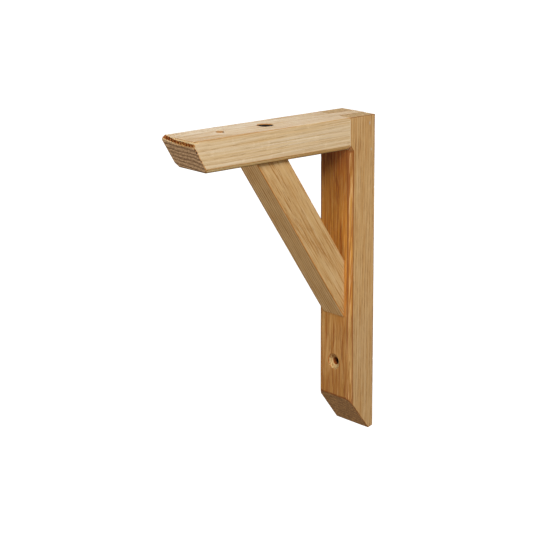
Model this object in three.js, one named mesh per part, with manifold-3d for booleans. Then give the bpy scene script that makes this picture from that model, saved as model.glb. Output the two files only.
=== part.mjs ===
// A plain wooden corbel: the triangular bracket that carries the end of a shelf.
// A wall leg and a shelf arm meet at a right angle in an open bridle joint, and a square diagonal
// brace is mitred between them. A black screw goes down through the arm into the brace.
//
// Millimetres, +Z up. The wall is on the +Y side and the arm reaches out along -Y.
// The origin lies on the leg's back face, half way up it, where the bracket bears on the wall.

import * as THREE from "three";
import { ConvexGeometry } from "three/addons/geometries/ConvexGeometry.js";
import { mergeVertices } from "three/addons/utils/BufferGeometryUtils.js";
import Module from "manifold-3d";

const wasm = await Module();
wasm.setup();

// The two battens
const battenWidth = 30; // across the bracket, one width for the leg and the arm
const legDepth = 20; // out from the wall
const armHeight = 20; // down from the shelf
const chamfer = 2.5; // flat on the leg's front edges and the arm's bottom edges
const chamferRunOut = 3.8; // length in which the leg's chamfers fade out below the arm

// Lengths down the leg, from the arm's underside
const braceDrop = 107; // to the brace's lower edge
const legTail = 53.1; // from there to the start of the foot's slanting cut
const footCutHeight = 21.9; // from there down to the tip of the foot
const footTipSetback = 3.8; // the lowest edge stands this far from the wall
const footTipRise = 1; // the blunt tip rises this much back to the wall

// Lengths out along the arm, from the leg's front face
const braceRun = 69.9; // to the brace's outer edge
const armTail = 52.1; // from there to the arm's sharp front edge, as it was before it tore
const armCutRun = 12.15; // how far the front cut leans back from top to bottom

// The bridle joint and the brace
const tenonWidth = 10; // the arm's tongue between the leg's two cheeks
const braceWidth = 20; // across the bracket
const braceThickness = 20; // square to its length
const jointGap = 0.3; // between any two faces that meet

// The countersunk holes, one for the wall screw and one for the shelf screw
const holeDiameter = 5;
const sinkMouth = 10.2; // diameter of the countersink at the surface
const sinkDepth = 2;
const wallHoleBelowBrace = 30.9; // from the brace's lower edge down to the hole's centre
const shelfHoleBeyondBrace = 19.2; // from the brace's outer edge out to the hole's centre

// The black screw that holds the brace to the arm
const screwDiameter = 4;
const screwHeadDiameter = 8.2;
const screwLength = 35;
const screwPoint = 6; // length of the tapered point
const screwSink = 0.6; // the head's top below the arm's top
const screwTowardsWall = 2.8; // from the middle of the brace's end
const pocketClearance = 0.9; // round the head, at the mouth of its pocket
const driveSpan = 4.4; // the cross recess in the head
const driveWidth = 1;
const driveDepth = 1.2;

// The torn strip along the arm's front edge
const tearReach = 2.7; // how far back on the top the wood is lost
const tearDrop = 4; // how far down the front cut it is lost
const tearHollow = 0.4; // how much the broken face is dished
const tearWaver = 0.35; // how much its edges waver

// How finely round and broken faces are cut
const roundSteps = 32;
const tearSteps = 14;
const overshoot = 2; // cutting shapes stand this far outside the wood

// Sizes that follow from the ones above
const legHeight = armHeight + braceDrop + legTail + footCutHeight;
const armReach = legDepth + braceRun + armTail;
const halfWidth = battenWidth / 2;
const armCutSlope = armCutRun / armHeight;
const shankHole = screwDiameter / 2 + jointGap;
const headRadius = screwHeadDiameter / 2;
const pocketRadius = headRadius + pocketClearance;
const headRim = pocketClearance - jointGap * Math.SQRT2;
const wallHoleDown = armHeight + braceDrop + wallHoleBelowBrace;
const shelfHoleOut = legDepth + braceRun + shelfHoleBeyondBrace;
const braceNormal = new THREE.Vector2(braceDrop, braceRun).normalize();
const braceEndMiddle = braceEdgeOut(braceThickness / 2, 0) - legDepth;
const screwOut = -braceEndMiddle - screwTowardsWall;

// Where a line along the brace, so far in from its outer face, is this far down: its place along Y,
// counted from the inner corner between the leg and the arm.
function braceEdgeOut(inset, z) {
  return (inset - braceRun * braceNormal.x - z * braceNormal.y) / braceNormal.x;
}

// The same line where it is this far out: its place along Z.
function braceEdgeDown(inset, y) {
  return (inset - braceRun * braceNormal.x - y * braceNormal.x) / braceNormal.y;
}

// A closed mesh as a solid that can be joined and cut.
function solid(geometry) {
  const plain = geometry.index ? geometry.toNonIndexed() : geometry.clone();
  plain.deleteAttribute("normal");
  plain.deleteAttribute("uv");
  const merged = mergeVertices(plain, 1e-4);
  const vertProperties = merged.attributes.position.array;
  const triVerts = new Uint32Array(merged.index.array);
  return new wasm.Manifold(new wasm.Mesh({ numProp: 3, vertProperties, triVerts }));
}

// A solid's surface as three.js geometry, flat-shaded.
function surface(made) {
  const mesh = made.getMesh();
  const geometry = new THREE.BufferGeometry();
  geometry.setAttribute("position", new THREE.BufferAttribute(mesh.vertProperties, 3));
  geometry.setIndex(new THREE.BufferAttribute(mesh.triVerts, 1));
  const flat = geometry.toNonIndexed();
  flat.computeVertexNormals();
  return flat;
}

// A side outline of [y, z] corners, given its thickness across the bracket.
function slab(corners, width) {
  const outline = new THREE.Shape(corners.map(([y, z]) => new THREE.Vector2(y, z)));
  const geometry = new THREE.ExtrudeGeometry(outline, { depth: width, bevelEnabled: false });
  geometry.translate(0, 0, -width / 2);
  const acrossX = new THREE.Matrix4().makeBasis(
    new THREE.Vector3(0, 1, 0),
    new THREE.Vector3(0, 0, 1),
    new THREE.Vector3(1, 0, 0),
  );
  return solid(geometry.applyMatrix4(acrossX));
}

// A block between two opposite corners.
function block(low, high) {
  const size = high.map((value, i) => value - low[i]);
  const geometry = new THREE.BoxGeometry(...size);
  return solid(geometry.translate(...low.map((value, i) => value + size[i] / 2)));
}

// A round solid turned from [radius, height] corners that run upwards, its axis along Z.
function turned(corners) {
  const profile = corners.map(([radius, height]) => new THREE.Vector2(radius, height));
  return new THREE.LatheGeometry(profile, roundSteps).rotateX(Math.PI / 2);
}

// What a countersunk hole removes: its mouth is at height 0 and it goes down through the wood.
function countersunkHole(depth) {
  const mouth = sinkMouth / 2;
  const bore = holeDiameter / 2;
  return turned([
    [0, -depth - overshoot],
    [bore, -depth - overshoot],
    [bore, -sinkDepth],
    [mouth, 0],
    [mouth, overshoot],
    [0, overshoot],
  ]);
}

// A closed skin through a row of outlines with equally many corners, for a shape that varies.
function loft(outlines) {
  const corners = outlines[0].length;
  const index = [];
  for (let row = 0; row + 1 < outlines.length; row++) {
    for (let i = 0; i < corners; i++) {
      const here = row * corners + i;
      const next = row * corners + ((i + 1) % corners);
      index.push(here, next, next + corners, here, next + corners, here + corners);
    }
  }
  const flatOutline = (outline) => outline.map((p) => new THREE.Vector2(p.y, p.z));
  const last = (outlines.length - 1) * corners;
  for (const [a, b, c] of THREE.ShapeUtils.triangulateShape(flatOutline(outlines[0]), [])) {
    index.push(a, c, b);
  }
  for (const [a, b, c] of THREE.ShapeUtils.triangulateShape(flatOutline(outlines.at(-1)), [])) {
    index.push(last + a, last + b, last + c);
  }
  const geometry = new THREE.BufferGeometry().setFromPoints(outlines.flat());
  return geometry.setIndex(index);
}

// The wood that is missing along the arm's front edge, from the left side to the right.
function tornStrip() {
  const outlines = [];
  for (let step = 0; step <= tearSteps; step++) {
    const along = step / tearSteps;
    const x = (along - 0.5) * (battenWidth + 2 * overshoot);
    const jag = tearWaver * (step % 2 ? 1 : -1);
    const back = tearReach * (1 - 0.6 * Math.sin(Math.PI * along)) + jag / 2;
    const down = tearDrop * (0.6 + 0.4 * along) + jag;
    const lipY = -armReach + down * armCutSlope;
    const topY = -armReach + back;
    outlines.push([
      new THREE.Vector3(x, -armReach - overshoot, overshoot),
      new THREE.Vector3(x, -armReach - overshoot, -down),
      new THREE.Vector3(x, lipY, -down),
      new THREE.Vector3(x, (lipY + topY) / 2 + tearHollow, -down / 2),
      new THREE.Vector3(x, topY, 0),
      new THREE.Vector3(x, topY, overshoot),
    ]);
  }
  return solid(loft(outlines));
}

// What the chamfer takes off one front edge of the leg: side is 1 for the right edge, -1 for the left.
function legChamfer(side) {
  const edgeX = side * halfWidth;
  const innerX = side * (halfWidth - chamfer);
  const outerX = side * (halfWidth + overshoot);
  const backY = -legDepth + chamfer;
  const outerY = -legDepth - overshoot;
  const fullZ = -armHeight + chamfer - chamferRunOut;
  const endZ = -legHeight - overshoot;
  // The slanting flat, carried on past both faces of the wood.
  const flat = (z) => [
    new THREE.Vector3(outerX, backY + overshoot, z),
    new THREE.Vector3(innerX - side * overshoot, outerY, z),
    new THREE.Vector3(outerX, outerY, z),
  ];
  const cut = solid(new ConvexGeometry([...flat(fullZ), ...flat(endZ)]));
  const runOut = solid(
    new ConvexGeometry([
      new THREE.Vector3(edgeX, -legDepth, -armHeight + chamfer),
      ...flat(fullZ),
    ]),
  );
  return cut.add(runOut);
}

// The wall leg: slotted at the top for the arm's tongue, cut to a slanting foot.
function wallLeg() {
  const wood = slab(
    [
      [0, 0],
      [-legDepth, 0],
      [-legDepth, -legHeight + footCutHeight],
      [-footTipSetback, -legHeight],
      [0, -legHeight + footTipRise],
    ],
    battenWidth,
  );
  const slotHalf = tenonWidth / 2 + jointGap;
  const slot = block(
    [-slotHalf, -legDepth - overshoot, -armHeight - jointGap],
    [slotHalf, overshoot, overshoot],
  );
  const hole = countersunkHole(legDepth).rotateX(Math.PI / 2);
  hole.translate(0, -legDepth, -wallHoleDown);
  return wood
    .subtract(legChamfer(1))
    .subtract(legChamfer(-1))
    .subtract(slot)
    .subtract(solid(hole));
}

// The round pocket and shank hole for the black screw, from the arm's top down to this depth.
function screwHole(depth) {
  const seatBottom = -screwSink - (pocketRadius - shankHole);
  const hole = turned([
    [0, -depth],
    [shankHole, -depth + shankHole],
    [shankHole, seatBottom],
    [pocketRadius, -screwSink],
    [pocketRadius, overshoot],
    [0, overshoot],
  ]);
  return hole.translate(0, -screwOut, 0);
}

// The shelf arm: a chamfered batten with a slanting front end, a torn front edge and a tongue.
function shelfArm() {
  const shoulder = -legDepth - jointGap;
  const section = (y) => [
    new THREE.Vector3(-halfWidth, y(0), 0),
    new THREE.Vector3(halfWidth, y(0), 0),
    new THREE.Vector3(halfWidth, y(armHeight - chamfer), chamfer - armHeight),
    new THREE.Vector3(-halfWidth, y(armHeight - chamfer), chamfer - armHeight),
    new THREE.Vector3(halfWidth - chamfer, y(armHeight), -armHeight),
    new THREE.Vector3(chamfer - halfWidth, y(armHeight), -armHeight),
  ];
  const wood = solid(
    new ConvexGeometry([
      ...section(() => shoulder),
      ...section((down) => -armReach + down * armCutSlope),
    ]),
  );
  const tenon = block([-tenonWidth / 2, shoulder - overshoot, -armHeight], [tenonWidth / 2, 0, 0]);
  const shelfHole = countersunkHole(armHeight).rotateX(Math.PI);
  shelfHole.translate(0, -shelfHoleOut, -armHeight);
  return wood
    .add(tenon)
    .subtract(tornStrip())
    .subtract(solid(screwHole(armHeight + overshoot + shankHole)))
    .subtract(solid(shelfHole));
}

// The diagonal brace, in the frame of the inner corner, with its two ends mitred to leg and arm.
function diagonalBrace() {
  const bar = slab(
    [
      [braceEdgeOut(0, -jointGap), -jointGap],
      [-jointGap, braceEdgeDown(0, -jointGap)],
      [-jointGap, braceEdgeDown(braceThickness, -jointGap)],
      [braceEdgeOut(braceThickness, -jointGap), -jointGap],
    ],
    braceWidth,
  );
  const pilot = screwHole(screwSink + screwLength + jointGap);
  return bar.subtract(solid(pilot.translate(0, legDepth, armHeight)));
}

// The black countersunk screw, its head's top at height 0.
function armScrew() {
  const shank = screwDiameter / 2;
  const body = turned([
    [0, -screwLength],
    [shank, -screwLength + screwPoint],
    [shank, -headRim - (headRadius - shank)],
    [headRadius, -headRim],
    [headRadius, 0],
    [0, 0],
  ]);
  const half = driveSpan / 2;
  const arm = driveWidth / 2;
  const slotAlong = block([-half, -arm, -driveDepth], [half, arm, overshoot]);
  const slotAcross = block([-arm, -half, -driveDepth], [arm, half, overshoot]);
  return solid(body).subtract(slotAlong.add(slotAcross));
}

const legOak = new THREE.MeshStandardMaterial({ color: 0xa67a45, roughness: 0.62, metalness: 0 });
const armOak = new THREE.MeshStandardMaterial({ color: 0xcfb080, roughness: 0.6, metalness: 0 });
const braceOak = new THREE.MeshStandardMaterial({ color: 0xbd9763, roughness: 0.6, metalness: 0 });
const blackSteel = new THREE.MeshStandardMaterial({ color: 0x141417, roughness: 0.45, metalness: 0.8 });

// A named piece, placed from the top of the leg's back edge.
function piece(name, made, material, y = 0, z = 0) {
  const mesh = new THREE.Mesh(surface(made), material);
  mesh.name = name;
  mesh.position.set(0, y, z);
  return mesh;
}

const woodwork = new THREE.Group();
woodwork.position.z = legHeight / 2;
woodwork.add(piece("wall_leg", wallLeg(), legOak));
woodwork.add(piece("shelf_arm", shelfArm(), armOak));
woodwork.add(piece("diagonal_brace", diagonalBrace(), braceOak, -legDepth, -armHeight));
woodwork.add(piece("arm_screw", armScrew(), blackSteel, -screwOut, -screwSink));

const bracket = new THREE.Group();
bracket.add(woodwork);

export default bracket;
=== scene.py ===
import math

import bmesh
import bpy
import numpy as np
from mathutils import Matrix, Vector, noise


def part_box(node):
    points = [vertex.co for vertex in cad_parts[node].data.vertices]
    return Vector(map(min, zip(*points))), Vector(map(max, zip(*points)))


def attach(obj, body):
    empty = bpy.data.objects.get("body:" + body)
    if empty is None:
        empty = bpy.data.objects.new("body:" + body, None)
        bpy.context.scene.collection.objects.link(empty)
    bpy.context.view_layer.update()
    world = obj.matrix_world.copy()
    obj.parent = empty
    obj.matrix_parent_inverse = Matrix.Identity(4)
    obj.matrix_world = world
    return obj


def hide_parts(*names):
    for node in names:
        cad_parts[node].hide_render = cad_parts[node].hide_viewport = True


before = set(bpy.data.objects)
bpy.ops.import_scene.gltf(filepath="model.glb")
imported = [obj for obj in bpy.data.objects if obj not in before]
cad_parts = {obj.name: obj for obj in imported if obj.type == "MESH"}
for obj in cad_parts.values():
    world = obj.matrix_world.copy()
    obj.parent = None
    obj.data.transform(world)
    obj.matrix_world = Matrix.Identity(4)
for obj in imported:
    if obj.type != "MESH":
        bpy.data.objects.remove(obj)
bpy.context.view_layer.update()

MM = 0.001


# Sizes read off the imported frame
def box_mm(node):
    low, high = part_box(node)
    return low / MM, high / MM


leg_low, leg_high = box_mm("wall_leg")
arm_low = box_mm("shelf_arm")[0]
brace_high = box_mm("diagonal_brace")[1]
screw_low, screw_high = box_mm("arm_screw")
TOP = leg_high.z
FOOT = leg_low.z
HALF = leg_high.x
WALL = leg_high.y
LEG_FRONT = leg_low.y
ARM_UNDER = arm_low.z
ARM_TIP = arm_low.y
BRACE_HALF = brace_high.x
SCREW_Y = (screw_low.y + screw_high.y) / 2
SCREW_TOP = screw_high.z
SCREW_TIP = screw_low.z
HEAD_RADIUS = screw_high.x

# Sizes that the boxes don't show, as in the solids
ARM_SHARP_TIP = -142.0
ARM_CUT_RUN = 12.15
CHAMFER = 2.5
CHAMFER_RUN_OUT = 3.8
FOOT_CUT_HEIGHT = 21.9
FOOT_TIP_SETBACK = 3.8
FOOT_TIP_RISE = 1.0
BRACE_RUN = 69.9
BRACE_DROP = 107.0
BRACE_THICKNESS = 20.0
TENON_HALF = 5.0
SINK_MOUTH = 5.1
SINK_DEPTH = 2.0
SINK_STEP = 0.5
BORE = 2.5
WALL_HOLE_Z = TOP - 157.9
SHELF_HOLE_Y = -109.1
POCKET_RADIUS = 5.0
SHANK_RADIUS = 2.0
SHANK_HOLE = 2.3
HEAD_EDGE = 0.476
SCREW_POINT = 6.0
ARM_SLOPE = ARM_CUT_RUN / (TOP - ARM_UNDER)

# Sizes of the finish. SEAM is the gap left at a joint, EASE how wide a rubbed arris is, BEYOND how far a
# cutting tool stands past the wood, and the grids how finely the skin is sliced
SEAM = 0.06
EASE = 0.35
BEYOND = 2.0
SKIN_GRID = 1.3
TIP_GRID = 0.28
HARD_EDGE = math.radians(18)
SHARP_SHADING = math.radians(32)
UNEVEN = 0.04
DENT = 0.4
DENT_REACH = 0.8
FAR_FROM_EDGE = 4.0
RECESS_MOUTH = (2.2, 0.5)
RECESS_FOOT = (0.9, 0.4)
RECESS_DEPTH = 1.4
RECESS_TURN = 0.5
HEAD_ROUND = 0.12
THREAD_ROOT = 1.45
THREAD_PITCH = 1.8
THREAD_LENGTH = 16.0

# The torn front edge: place across the arm, and how far back the top arris broke off there
TEAR_BACK = ((-15, 3.2), (-12.5, 2.3), (-9, 1.2), (-3, 1.0), (6, 1.0), (12, 1.1), (15, 1.8))
# Place across the arm, and how far down the sawn front the tear reaches there
TEAR_DOWN = ((-15, 2.6), (-13, 2.3), (-8, 3.0), (-2, 3.8), (5, 4.2), (12, 4.1), (15, 3.8))
# Place across the arm, and how far down its band of broken strands starts there
STRANDS_DOWN = ((-15, -0.3), (-8.5, -0.2), (-5.5, 0.4), (-2.5, 1.0), (5, 1.3), (15, 1.5))
STRAND_GAP = 2.7
# Nothing torn stands further forward than this
TORN_LIMIT = ARM_TIP + 0.02
# How far back and down the front is sliced finely, and how far down most finely
TIP_BACK = -134.0
TIP_DOWN = 16.0
TEAR_REGION = 5.5
# Small breaks down the right edge of the sawn front: depth below the top, radius, how deep
NICKS = ((4.9, 0.8, 0.4), (6.7, 1.0, 0.6), (8.5, 0.8, 0.4), (12.2, 0.8, 0.35), (15.0, 0.6, 0.25))

# The photograph's camera: angles in degrees, places in metres
CAMERA_AZIMUTH = 50.21
CAMERA_ELEVATION = 14.67
CAMERA_ROLL = -0.32
CAMERA_DISTANCE = 1.1419
CAMERA_TARGET = Vector((-0.01431, -0.06, 0.00682))
CAMERA_LENS = 123.57


def direction(azimuth, elevation):
    """From the bracket out to a camera or a light. Azimuth 0 is on the arm's side, 90 on +X."""
    a, e = math.radians(azimuth), math.radians(elevation)
    return Vector((math.sin(a) * math.cos(e), -math.cos(a) * math.cos(e), math.sin(e)))


def make_camera():
    a, r = math.radians(CAMERA_AZIMUTH), math.radians(CAMERA_ROLL)
    back = direction(CAMERA_AZIMUTH, CAMERA_ELEVATION)
    right = Vector((math.cos(a), math.sin(a), 0))
    up = back.cross(right)
    turned_right = math.cos(r) * right + math.sin(r) * up
    turned_up = math.cos(r) * up - math.sin(r) * right
    camera = bpy.data.objects.new("camera", bpy.data.cameras.new("camera"))
    camera.data.lens = CAMERA_LENS
    camera.data.sensor_width = 36
    camera.data.clip_start = 0.05
    camera.data.clip_end = 100
    turn = Matrix((turned_right, turned_up, back)).transposed().to_4x4()
    camera.matrix_world = Matrix.Translation(CAMERA_TARGET + back * CAMERA_DISTANCE) @ turn
    bpy.context.scene.collection.objects.link(camera)
    bpy.context.scene.camera = camera


# Small sums
def between(points, place):
    """The value at a place, read between these (place, value) points."""
    return float(np.interp(place, *zip(*points)))


def hump(value, middle, reach):
    """1 at the middle, falling to 0 at this reach on either side."""
    return max(0.0, 1 - ((value - middle) / reach) ** 2)


def rise(value, low, high):
    """0 below low, 1 above high and smooth between."""
    share = min(1.0, max(0.0, (value - low) / (high - low)))
    return share * share * (3 - 2 * share)


def spaced(low, high, gap):
    """Places between two ends, about a gap apart."""
    count = max(1, round((high - low) / gap))
    return [low + (high - low) * i / count for i in range(1, count)]


# Coarse shapes
def prism(outline, half):
    """A bar with this side outline of (y, z) corners, from -half to half across."""
    bm = bmesh.new()
    near = [bm.verts.new((half, y, z)) for y, z in outline]
    far = [bm.verts.new((-half, y, z)) for y, z in outline]
    bm.faces.new(near)
    bm.faces.new(far[::-1])
    for i, corner in enumerate(near):
        following = (i + 1) % len(near)
        bm.faces.new((corner, far[i], far[following], near[following]))
    bmesh.ops.recalc_face_normals(bm, faces=bm.faces)
    return bm


def hull(points):
    """The convex block round these corners."""
    bm = bmesh.new()
    for point in points:
        bm.verts.new(point)
    made = bmesh.ops.convex_hull(bm, input=bm.verts)
    loose = made["geom_interior"] + made["geom_unused"]
    spare = {part for part in loose if isinstance(part, bmesh.types.BMVert)}
    bmesh.ops.delete(bm, geom=list(spare), context="VERTS")
    bmesh.ops.dissolve_limit(bm, angle_limit=0.001, verts=bm.verts, edges=bm.edges)
    bmesh.ops.recalc_face_normals(bm, faces=bm.faces)
    return bm


def box_corners(across, out, up):
    """Every corner of a box between these places on the three axes."""
    return [(x, y, z) for x in across for y in out for z in up]


def block(low, high):
    return hull(box_corners(*zip(low, high)))


def turned(corners, steps=64, wobble=0.0, seed=0):
    """A round solid from (radius, height) corners that run up the Z axis, slightly out of round."""
    bm = bmesh.new()
    rings = []
    for radius, height in corners:
        if radius == 0:
            rings.append([bm.verts.new((0, 0, height))])
            continue
        ring = []
        for step in range(steps):
            angle = 2 * math.pi * step / steps
            place = Vector((math.cos(angle), math.sin(angle), 0))
            out = radius * (1 + wobble * noise.noise(place * 4 + Vector((seed, 0, height))))
            ring.append(bm.verts.new(place * out + Vector((0, 0, height))))
        rings.append(ring)
    for lower, upper in zip(rings, rings[1:]):
        for step in range(steps):
            after = (step + 1) % steps
            if len(lower) == 1:
                bm.faces.new((lower[0], upper[after], upper[step]))
            elif len(upper) == 1:
                bm.faces.new((lower[step], lower[after], upper[0]))
            else:
                bm.faces.new((lower[step], lower[after], upper[after], upper[step]))
    bmesh.ops.recalc_face_normals(bm, faces=bm.faces)
    return bm


def moved(bm, matrix):
    bm.transform(matrix)
    return bm


def workshop_object(bm, name, material_index=0):
    """A throw-away object for modifiers, with a slot for planed faces and one for bored faces."""
    mesh = bpy.data.meshes.new(name)
    if material_index:
        for face in bm.faces:
            face.material_index = material_index
    bm.to_mesh(mesh)
    bm.free()
    mesh.materials.append(None)
    mesh.materials.append(None)
    made = bpy.data.objects.new(name, mesh)
    bpy.context.scene.collection.objects.link(made)
    return made


def result_of(thing):
    """The object's shape with its modifiers worked in. The object itself is thrown away."""
    shape = bpy.data.meshes.new_from_object(thing.evaluated_get(bpy.context.evaluated_depsgraph_get()))
    bm = bmesh.new()
    bm.from_mesh(shape)
    discard(thing)
    bpy.data.meshes.remove(shape)
    return bm


def discard(thing):
    mesh = thing.data
    bpy.data.objects.remove(thing)
    bpy.data.meshes.remove(mesh)


def carve(wood, tool, operation="DIFFERENCE", bored=True):
    """Cuts the tool out of the wood, or joins it on. Faces that a drill leaves are marked as bored."""
    target = workshop_object(wood, "wood")
    cutter = workshop_object(tool, "tool", 1 if bored else 0)
    cut = target.modifiers.new("cut", "BOOLEAN")
    cut.object = cutter
    cut.operation = operation
    cut.solver = "EXACT"
    bm = result_of(target)
    discard(cutter)
    bmesh.ops.remove_doubles(bm, verts=bm.verts, dist=1e-4)
    bmesh.ops.dissolve_limit(bm, angle_limit=0.002, verts=bm.verts, edges=bm.edges, delimit={"MATERIAL"})
    return bm


def arrises(bm):
    """Every hard edge, with its middle."""
    hard = [edge for edge in bm.edges if edge.is_manifold and edge.calc_face_angle() > HARD_EDGE]
    return [(edge, (edge.verts[0].co + edge.verts[1].co) / 2) for edge in hard]


def ease(wood, share_of):
    """Rounds each hard edge by its share of EASE: the arrises that a hand has rubbed, not the joints."""
    weights = wood.edges.layers.float.new("bevel_weight_edge")
    for edge, middle in arrises(wood):
        edge[weights] = share_of(middle)
    target = workshop_object(wood, "wood")
    bevel = target.modifiers.new("ease", "BEVEL")
    bevel.limit_method = "WEIGHT"
    bevel.width = EASE
    bevel.segments = 3
    return result_of(target)


def hard_edges(bm, skip=lambda middle: False):
    """The ends of every hard edge, as an array of pairs of points."""
    kept = [edge for edge, middle in arrises(bm) if not skip(middle)]
    return np.array([[tuple(vert.co) for vert in edge.verts] for edge in kept], float)


def slice_skin(bm, cuts, inside=lambda point: True):
    """Cuts the skin along parallel planes, so that it has points to move, without changing its shape.
    cuts holds pairs of a plane's normal and its places along it. Only faces inside are cut."""
    faces = [face for face in bm.faces if inside(face.calc_center_median())]
    geom = faces + list({edge for face in faces for edge in face.edges})
    geom += list({vert for face in faces for vert in face.verts})
    for normal, places in cuts:
        normal = Vector(normal)
        for place in places:
            made = bmesh.ops.bisect_plane(bm, geom=geom, dist=1e-4, plane_co=normal * place, plane_no=normal)
            geom = made["geom"]


def distance_to_edges(points, edges):
    """How far each point is from the nearest of these edges."""
    nearest = np.full(len(points), FAR_FROM_EDGE)
    for start, end in edges:
        along = end - start
        share = np.clip((points - start) @ along / max(along @ along, 1e-9), 0, 1)
        gap = np.linalg.norm(points - start - share[:, None] * along, axis=1)
        nearest = np.minimum(nearest, gap)
    return nearest


def wear(bm, edges, seed, still=lambda point: False):
    """Takes the machine look off a batten: faces a little uneven, arrises with small dents."""
    bm.normal_update()
    points = np.array([vert.co[:] for vert in bm.verts])
    gaps = distance_to_edges(points, edges)
    for vert, gap in zip(bm.verts, gaps):
        if still(vert.co):
            continue
        place = vert.co + Vector((seed * 31.7, 0, 0))
        uneven = UNEVEN * (1 + noise.noise(place * 0.09))
        dent = 0.0
        if gap < DENT_REACH:
            knock = max(0.0, noise.noise(place * 0.33 + Vector((5, 9, 1))) - 0.4)
            dent = DENT * knock * (1 - gap / DENT_REACH)
        vert.co -= vert.normal * (uneven + dent)


def hand_over(bm, name, node, material, facts):
    """Turns a finished shape into a piece in metres. facts are for its finish: each name gives FACE or
    POINT and a value for every one."""
    for face in bm.faces:
        face.material_index = 0
        face.smooth = True
    mesh = bpy.data.meshes.new(name)
    bm.transform(Matrix.Scale(MM, 4))
    bm.to_mesh(mesh)
    bm.free()
    mesh.set_sharp_from_angle(angle=SHARP_SHADING)
    for fact, (domain, values) in facts.items():
        mesh.attributes.new(fact, "FLOAT", domain).data.foreach_set("value", np.array(values, np.float32))
    mesh.materials.append(material)
    piece = bpy.data.objects.new(name, mesh)
    bpy.context.scene.collection.objects.link(piece)
    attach(piece, "root")
    if node:
        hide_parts(node)
    return piece


def grain_and_rings(batten):
    """A batten's grain and the direction across its rings, at right angles to each other."""
    grain = Vector(batten["grain"]).normalized()
    rings = Vector(batten["rings"])
    return grain, (rings - grain * rings.dot(grain)).normalized()


def wood_facts(bm, edges, batten, hole_axis, hole_ends):
    """What the oak finish needs to know of a batten's faces and points. hole_ends are the places along
    the hole axis at which its holes come out."""
    bmesh.ops.triangulate(bm, faces=bm.faces)
    bm.normal_update()
    grain, rings = grain_and_rings(batten)
    facts = {name: [] for name in ("end_grain", "sanded_and_sheen", "flat_sawn", "chamfer", "bored", "deep")}
    for face in bm.faces:
        normal, middle = face.normal, face.calc_center_median()
        end_grain = rise(abs(normal.dot(grain)), 0.3, 0.55)
        facts["end_grain"].append(end_grain)
        # End grain at the very top: sanded, and partly a painted sheen
        facts["sanded_and_sheen"].append(end_grain * rise(middle.z, TOP - 0.6, TOP - 0.3))
        facts["flat_sawn"].append(max(0.0, normal.dot(rings)) ** 2)
        square = 1.0 if batten is BRACE_OAK else max(abs(part) for part in normal)
        # The arm's underside counts as 0.6 chamfer, so it takes part of the arm's painted light from below
        arm_under = batten is ARM_OAK and normal.z < -0.9
        facts["chamfer"].append(0.6 if arm_under else 1 - rise(square, 0.8, 0.95))
        facts["bored"].append(float(face.material_index))
        facts["deep"].append(face.material_index * depth_in_hole(normal, middle, hole_axis, hole_ends))
    made = {name: ("FACE", values) for name, values in facts.items()}
    points = np.array([vert.co[:] for vert in bm.verts])
    made["arris"] = ("POINT", distance_to_edges(points, edges))
    return made


def depth_in_hole(normal, middle, hole_axis, hole_ends):
    """From 0.3 where a bore starts to 1 well inside it, where the finish paints near-black shade. The
    pocket's wood round and under the screw's head counts as inside, and a cone's upper side gets a little
    painted shade."""
    if middle.z < SCREW_TOP + 0.1 and math.hypot(middle.x, middle.y - SCREW_Y) < POCKET_RADIUS + 0.3:
        return 1.0
    inside = min(abs(middle.dot(hole_axis) - end) for end in hole_ends)
    upright = 1 - rise(abs(normal.dot(hole_axis)), 0.15, 0.4)
    # Painted shade on the cone's down-facing upper side
    cone_shade = (1 - upright) * 0.24 * rise(-normal.z, 0.0, 0.4)
    return upright * between(((0, 0.3), (2.4, 0.4), (6, 1)), inside) + cone_shade


# Nodes
class Graph:
    """Adds nodes to a shader or to a Geometry Nodes tree."""

    def __init__(self, tree):
        self.tree = tree

    def node(self, kind, settings=None, inputs=None):
        made = self.tree.nodes.new(kind)
        for setting, value in (settings or {}).items():
            setattr(made, setting, value)
        for key, value in (inputs or {}).items():
            self.plug(made.inputs[key], value)
        return made

    def plug(self, socket, value):
        value = value.socket if isinstance(value, Value) else value
        if isinstance(value, bpy.types.NodeSocket):
            self.tree.links.new(value, socket)
        else:
            socket.default_value = value


class Value:
    """A number that varies over a surface. Python's operators on it add Math nodes."""

    def __init__(self, finish, socket):
        self.finish = finish
        self.socket = socket

    def __add__(self, other):
        return self.finish.maths("ADD", self, other)

    __radd__ = __add__

    def __sub__(self, other):
        return self.finish.maths("SUBTRACT", self, other)

    def __rsub__(self, other):
        return self.finish.maths("SUBTRACT", other, self)

    def __mul__(self, other):
        return self.finish.maths("MULTIPLY", self, other)

    __rmul__ = __mul__

    def __truediv__(self, other):
        return self.finish.maths("DIVIDE", self, other)


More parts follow.
